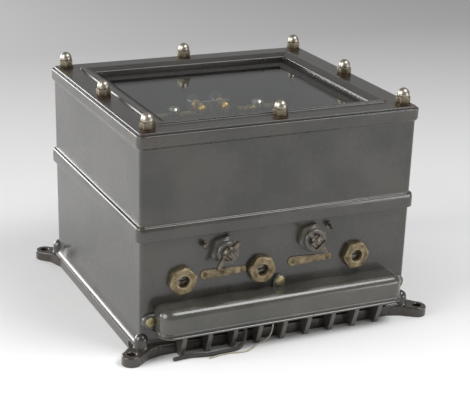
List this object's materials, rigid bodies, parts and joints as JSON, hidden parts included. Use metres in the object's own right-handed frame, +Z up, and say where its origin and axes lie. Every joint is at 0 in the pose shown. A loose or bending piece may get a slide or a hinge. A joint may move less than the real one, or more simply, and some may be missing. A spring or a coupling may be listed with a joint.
{
  "type": "galvanometer",
  "caption": "Glazed galvanometer in a two-part cast case with a studded window, clamp handles, adjusting ports and a ribbed terminal cover.",
  "frame": {"origin": "centre of the four mounting holes, on the underside of the base", "axes": "+Z up, the front with the clamp handles and the terminal cover faces -Y, +X to the right when facing the front"},
  "size_m": [0.347, 0.3213, 0.2473],
  "materials": {
    "grey_paint": "semi-gloss dark grey enamel on cast iron, worn at the edges",
    "nickel_steel": "dull nickel-plated steel",
    "buff_brass": "aged buff brass",
    "bright_brass": "turned brass, slightly tarnished",
    "black_rubber": "matt sealing rubber",
    "ebonite": "moulded ebonite",
    "glass": "clear plate glass",
    "magnet_red": "red lacquer on magnet steel",
    "soft_iron": "ground soft iron",
    "copper": "enamelled copper winding",
    "mirror": "silvered glass",
    "wire_cotton": "tinned copper in pale cotton",
    "lead_black": "dark braided covering",
    "wire_red": "red silk covering"
  },
  "bodies": {
    "case": {"lower_case": "grey_paint", "upper_case": "grey_paint", "case_gasket": "black_rubber", "fixing_screws": "nickel_steel", "window_gasket": "black_rubber", "window_studs": "nickel_steel", "port_bushes": "buff_brass", "front_locknuts": "bright_brass", "clamp_glands": "grey_paint", "label_plates": "buff_brass", "label_plate_screws": "nickel_steel", "seal_pegs": "nickel_steel", "cable_ribs": "grey_paint", "terminal_gasket": "black_rubber", "terminal_block": "ebonite", "terminal_studs": "bright_brass", "terminal_nuts": "bright_brass", "deck": "bright_brass", "deck_pillars": "nickel_steel", "rear_rail": "grey_paint", "guide_rods": "nickel_steel", "lifter_guides": "bright_brass", "magnets": "magnet_red", "pole_pieces": "soft_iron", "cores": "soft_iron", "suspension_bridges": "bright_brass", "torsion_heads": "nickel_steel", "lamp_bracket": "bright_brass", "lamp_caps": "bright_brass", "lamp_bulbs": "glass", "internal_wiring": "wire_red", "loose_wire": "wire_cotton", "loose_lead": "lead_black"},
    "window": {"window_frame": "grey_paint", "window_glass": "glass", "glass_seals": "black_rubber", "glass_retainer": "bright_brass", "retainer_screws": "bright_brass", "stud_washers": "nickel_steel", "acorn_nuts": "nickel_steel"},
    "terminal_cover": {"terminal_cover": "grey_paint", "cover_screws": "bright_brass"},
    "clamp_handle_left": {"clamp_handle_left": "nickel_steel", "clamp_spindle_left": "nickel_steel"},
    "clamp_handle_right": {"clamp_handle_right": "nickel_steel", "clamp_spindle_right": "nickel_steel"},
    "clamp_lifter_left": {"clamp_lifter_left": "nickel_steel"},
    "clamp_lifter_right": {"clamp_lifter_right": "nickel_steel"},
    "adjuster_left": {"adjuster_left": "nickel_steel"},
    "adjuster_centre": {"adjuster_centre": "nickel_steel"},
    "adjuster_right": {"adjuster_right": "nickel_steel"},
    "carriage_left": {"carriage_left": "bright_brass"},
    "carriage_centre": {"carriage_centre": "bright_brass"},
    "carriage_right": {"carriage_right": "bright_brass"},
    "torsion_arm_left": {"torsion_arm_left": "bright_brass"},
    "torsion_arm_right": {"torsion_arm_right": "bright_brass"},
    "coil_left": {"coil_left": "copper", "mirror_left": "mirror"},
    "coil_right": {"coil_right": "copper", "mirror_right": "mirror"}
  },
  "joints": [
    {"name": "window_lift", "type": "slide", "parent": "case", "child": "window", "axis": [0, 0, 1], "range_m": [0, 0.09]},
    {"name": "terminal_cover_pull", "type": "slide", "parent": "case", "child": "terminal_cover", "axis": [0, -1, 0], "range_m": [0, 0.07]},
    {"name": "clamp_lifter_left_slide", "type": "slide", "parent": "case", "child": "clamp_lifter_left", "axis": [0, 0, 1], "range_m": [0, 0.0073]},
    {"name": "clamp_handle_left_turn", "type": "hinge", "parent": "case", "child": "clamp_handle_left", "pos_m": [-0.062, -0.135, 0.103], "axis": [0, -1, 0], "range_deg": [0, 75.1]},
    {"name": "clamp_lifter_right_slide", "type": "slide", "parent": "case", "child": "clamp_lifter_right", "axis": [0, 0, 1], "range_m": [0, 0.0073]},
    {"name": "clamp_handle_right_turn", "type": "hinge", "parent": "case", "child": "clamp_handle_right", "pos_m": [0.035, -0.135, 0.103], "axis": [0, -1, 0], "range_deg": [-75.1, 0]},
    {"name": "carriage_left_slide", "type": "slide", "parent": "case", "child": "carriage_left", "axis": [0, 1, 0], "range_m": [-0.004, 0.004]},
    {"name": "adjuster_left_turn", "type": "hinge", "parent": "case", "child": "adjuster_left", "pos_m": [-0.107, -0.135, 0.077], "axis": [0, -1, 0], "range_deg": [-361, 361]},
    {"name": "carriage_centre_slide", "type": "slide", "parent": "case", "child": "carriage_centre", "axis": [0, 1, 0], "range_m": [-0.004, 0.004]},
    {"name": "adjuster_centre_turn", "type": "hinge", "parent": "case", "child": "adjuster_centre", "pos_m": [-0.021, -0.135, 0.077], "axis": [0, -1, 0], "range_deg": [-361, 361]},
    {"name": "carriage_right_slide", "type": "slide", "parent": "case", "child": "carriage_right", "axis": [0, 1, 0], "range_m": [-0.004, 0.004]},
    {"name": "adjuster_right_turn", "type": "hinge", "parent": "case", "child": "adjuster_right", "pos_m": [0.087, -0.135, 0.077], "axis": [0, -1, 0], "range_deg": [-361, 361]},
    {"name": "torsion_arm_left_turn", "type": "hinge", "parent": "case", "child": "torsion_arm_left", "pos_m": [-0.062, 0, 0.135], "axis": [0, 0, 1], "range_deg": [-5.19, 5.19]},
    {"name": "coil_left_turn", "type": "hinge", "parent": "case", "child": "coil_left", "pos_m": [-0.062, 0, 0.175], "axis": [0, 0, 1], "range_deg": [-15, 15], "stiffness_Nm_per_rad": 0.0004},
    {"name": "torsion_arm_right_turn", "type": "hinge", "parent": "case", "child": "torsion_arm_right", "pos_m": [0.035, 0, 0.135], "axis": [0, 0, 1], "range_deg": [-4.51, 4.51]},
    {"name": "coil_right_turn", "type": "hinge", "parent": "case", "child": "coil_right", "pos_m": [0.035, 0, 0.175], "axis": [0, 0, 1], "range_deg": [-15, 15], "stiffness_Nm_per_rad": 0.0004}
  ],
  "couplings": [
    {"joint": "clamp_handle_left_turn", "follows": "clamp_lifter_left_slide", "rad_per_m": 179.19},
    {"joint": "clamp_handle_right_turn", "follows": "clamp_lifter_right_slide", "rad_per_m": -179.19},
    {"joint": "adjuster_left_turn", "follows": "carriage_left_slide", "rad_per_m": 1570.8},
    {"joint": "adjuster_centre_turn", "follows": "carriage_centre_slide", "rad_per_m": 1570.8},
    {"joint": "adjuster_right_turn", "follows": "carriage_right_slide", "rad_per_m": 1570.8},
    {"joint": "torsion_arm_left_turn", "follows": "carriage_left_slide", "rad_per_m": -22.222},
    {"joint": "torsion_arm_right_turn", "follows": "carriage_right_slide", "rad_per_m": 19.231}
  ]
}
